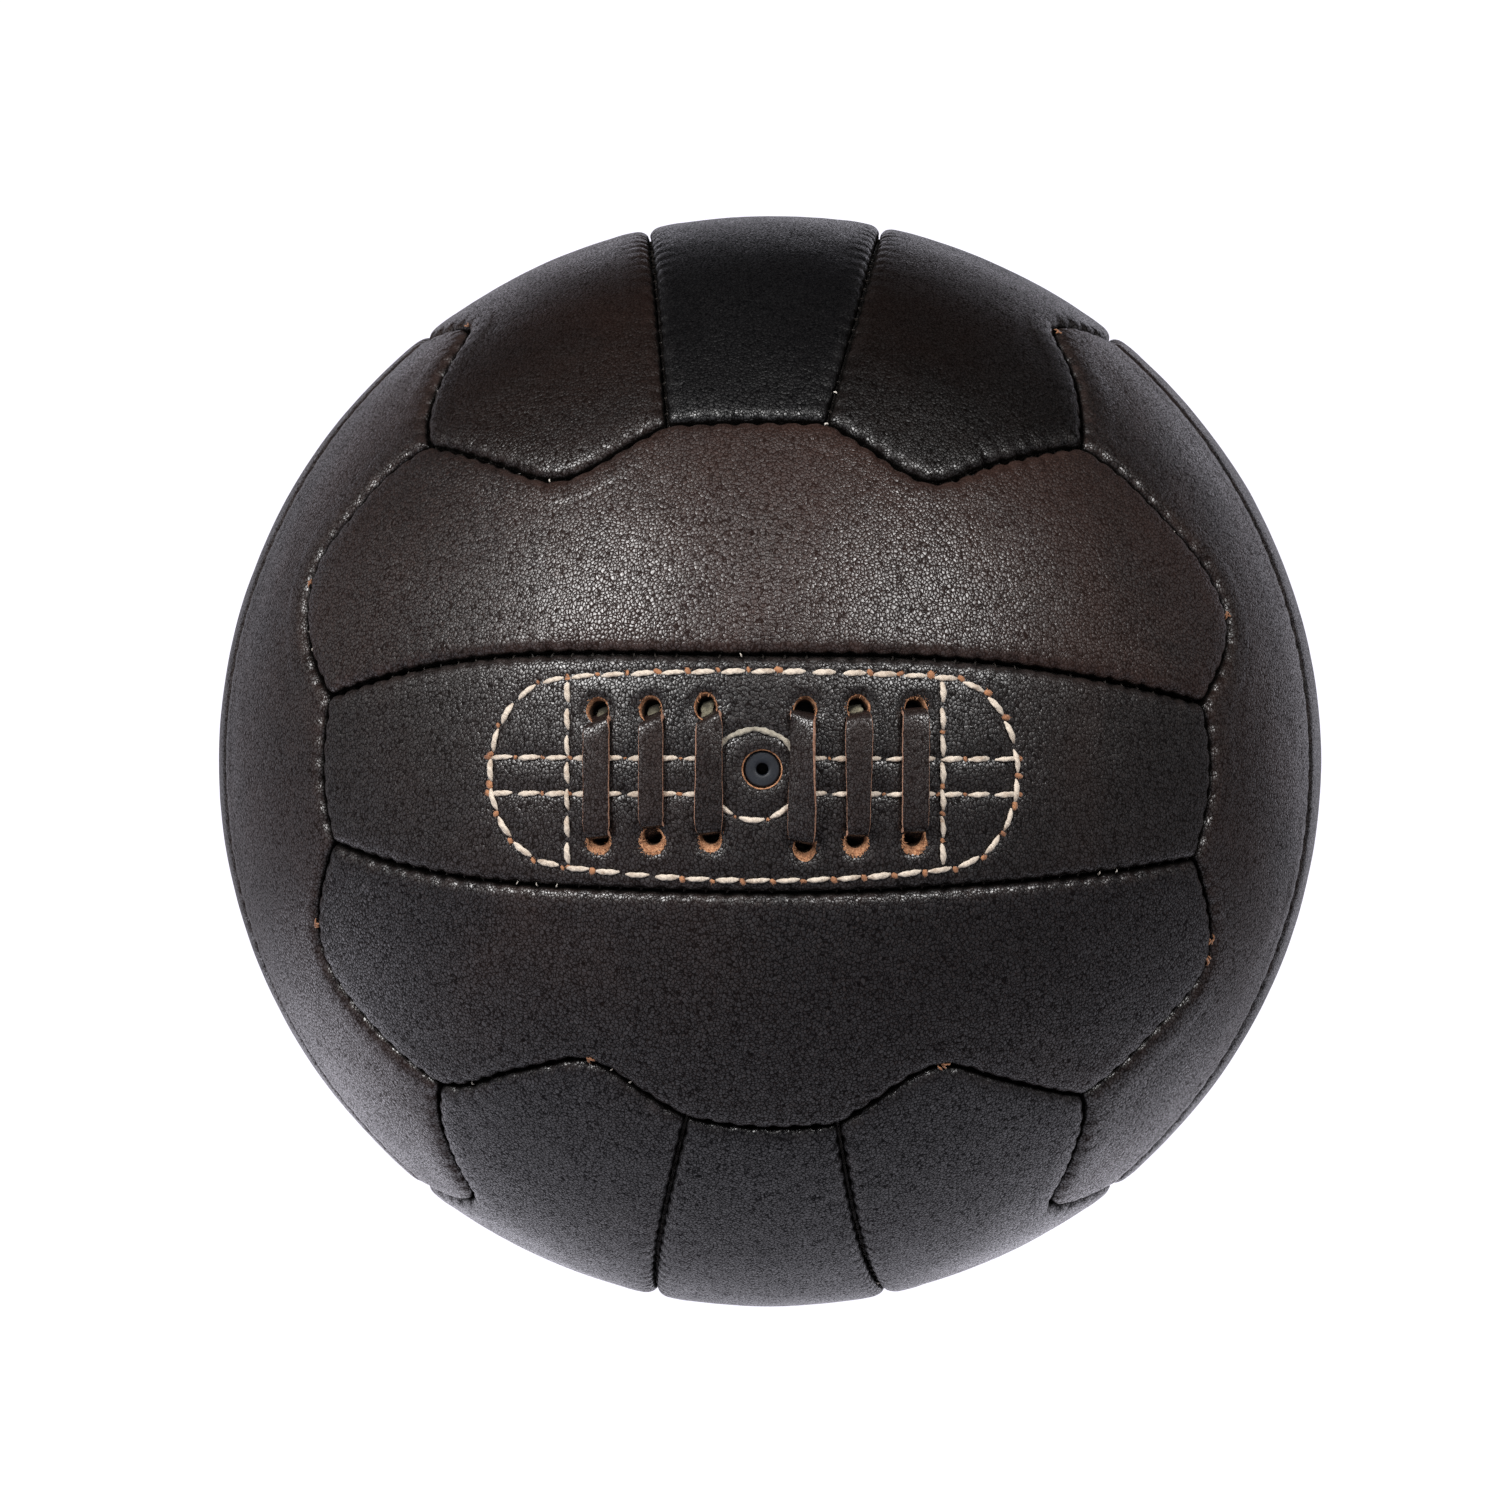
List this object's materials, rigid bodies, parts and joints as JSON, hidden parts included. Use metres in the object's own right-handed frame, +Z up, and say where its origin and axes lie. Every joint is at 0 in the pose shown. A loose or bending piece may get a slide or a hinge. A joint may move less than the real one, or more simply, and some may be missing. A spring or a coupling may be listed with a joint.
{
  "type": "laced leather ball",
  "caption": "Round ball with a hand-stitched panelled leather cover, a laced and stitched centre strip, a pump valve and a rubber bladder inside.",
  "frame": {"origin": "centre of the ball", "axes": "+Z up, the laced strip and the valve face -Y, the laced strip runs along X"},
  "size_m": [0.219, 0.2218, 0.219],
  "materials": {
    "panel_leather": "worn waxed dark brown leather",
    "lace_leather": "dark brown leather thong with raw cut edges",
    "patch_leather": "undyed split leather",
    "lining_cotton": "unbleached cotton duck",
    "bladder_rubber": "black rubber dusted with talc",
    "valve_rubber": "blue-grey rubber",
    "waxed_thread": "waxed off-white linen thread"
  },
  "bodies": {
    "ball": {"air_bladder": "bladder_rubber", "back_centre_strip": "panel_leather", "back_lower_lining": "lining_cotton", "back_lower_panel": "panel_leather", "back_strip_lining": "lining_cotton", "back_upper_lining": "lining_cotton", "back_upper_panel": "panel_leather", "bottom_centre_strip": "panel_leather", "bottom_left_lining": "lining_cotton", "bottom_left_panel": "panel_leather", "bottom_right_lining": "lining_cotton", "bottom_right_panel": "panel_leather", "bottom_strip_lining": "lining_cotton", "front_centre_strip": "panel_leather", "front_lower_lining": "lining_cotton", "front_lower_panel": "panel_leather", "front_upper_lining": "lining_cotton", "front_upper_panel": "panel_leather", "lacing_reinforcement_patch": "patch_leather", "leather_lace": "lace_leather", "left_centre_strip": "panel_leather", "left_fore_lining": "lining_cotton", "left_fore_panel": "panel_leather", "left_lower_centre_stitching": "waxed_thread", "left_lower_centre_stitching_tip": "waxed_thread", "left_rear_lining": "lining_cotton", "left_rear_panel": "panel_leather", "left_strip_lining": "lining_cotton", "left_upper_centre_stitching": "waxed_thread", "left_upper_centre_stitching_tip": "waxed_thread", "left_upright_stitching": "waxed_thread", "outline_stitching": "waxed_thread", "right_centre_strip": "panel_leather", "right_fore_lining": "lining_cotton", "right_fore_panel": "panel_leather", "right_lower_centre_stitching": "waxed_thread", "right_lower_centre_stitching_tip": "waxed_thread", "right_rear_lining": "lining_cotton", "right_rear_panel": "panel_leather", "right_strip_lining": "lining_cotton", "right_upper_centre_stitching": "waxed_thread", "right_upper_centre_stitching_tip": "waxed_thread", "right_upright_stitching": "waxed_thread", "seam_thread": "waxed_thread", "top_centre_strip": "panel_leather", "top_left_lining": "lining_cotton", "top_left_panel": "panel_leather", "top_right_lining": "lining_cotton", "top_right_panel": "panel_leather", "top_strip_lining": "lining_cotton", "valve_housing": "valve_rubber", "valve_ring_stitching": "waxed_thread"},
    "valve_core": {"valve_core": "valve_rubber"}
  },
  "joints": [
    {"name": "valve_core_pull", "type": "slide", "parent": "ball", "child": "valve_core", "axis": [0, -1, 0], "range_m": [0, 0.014]}
  ]
}
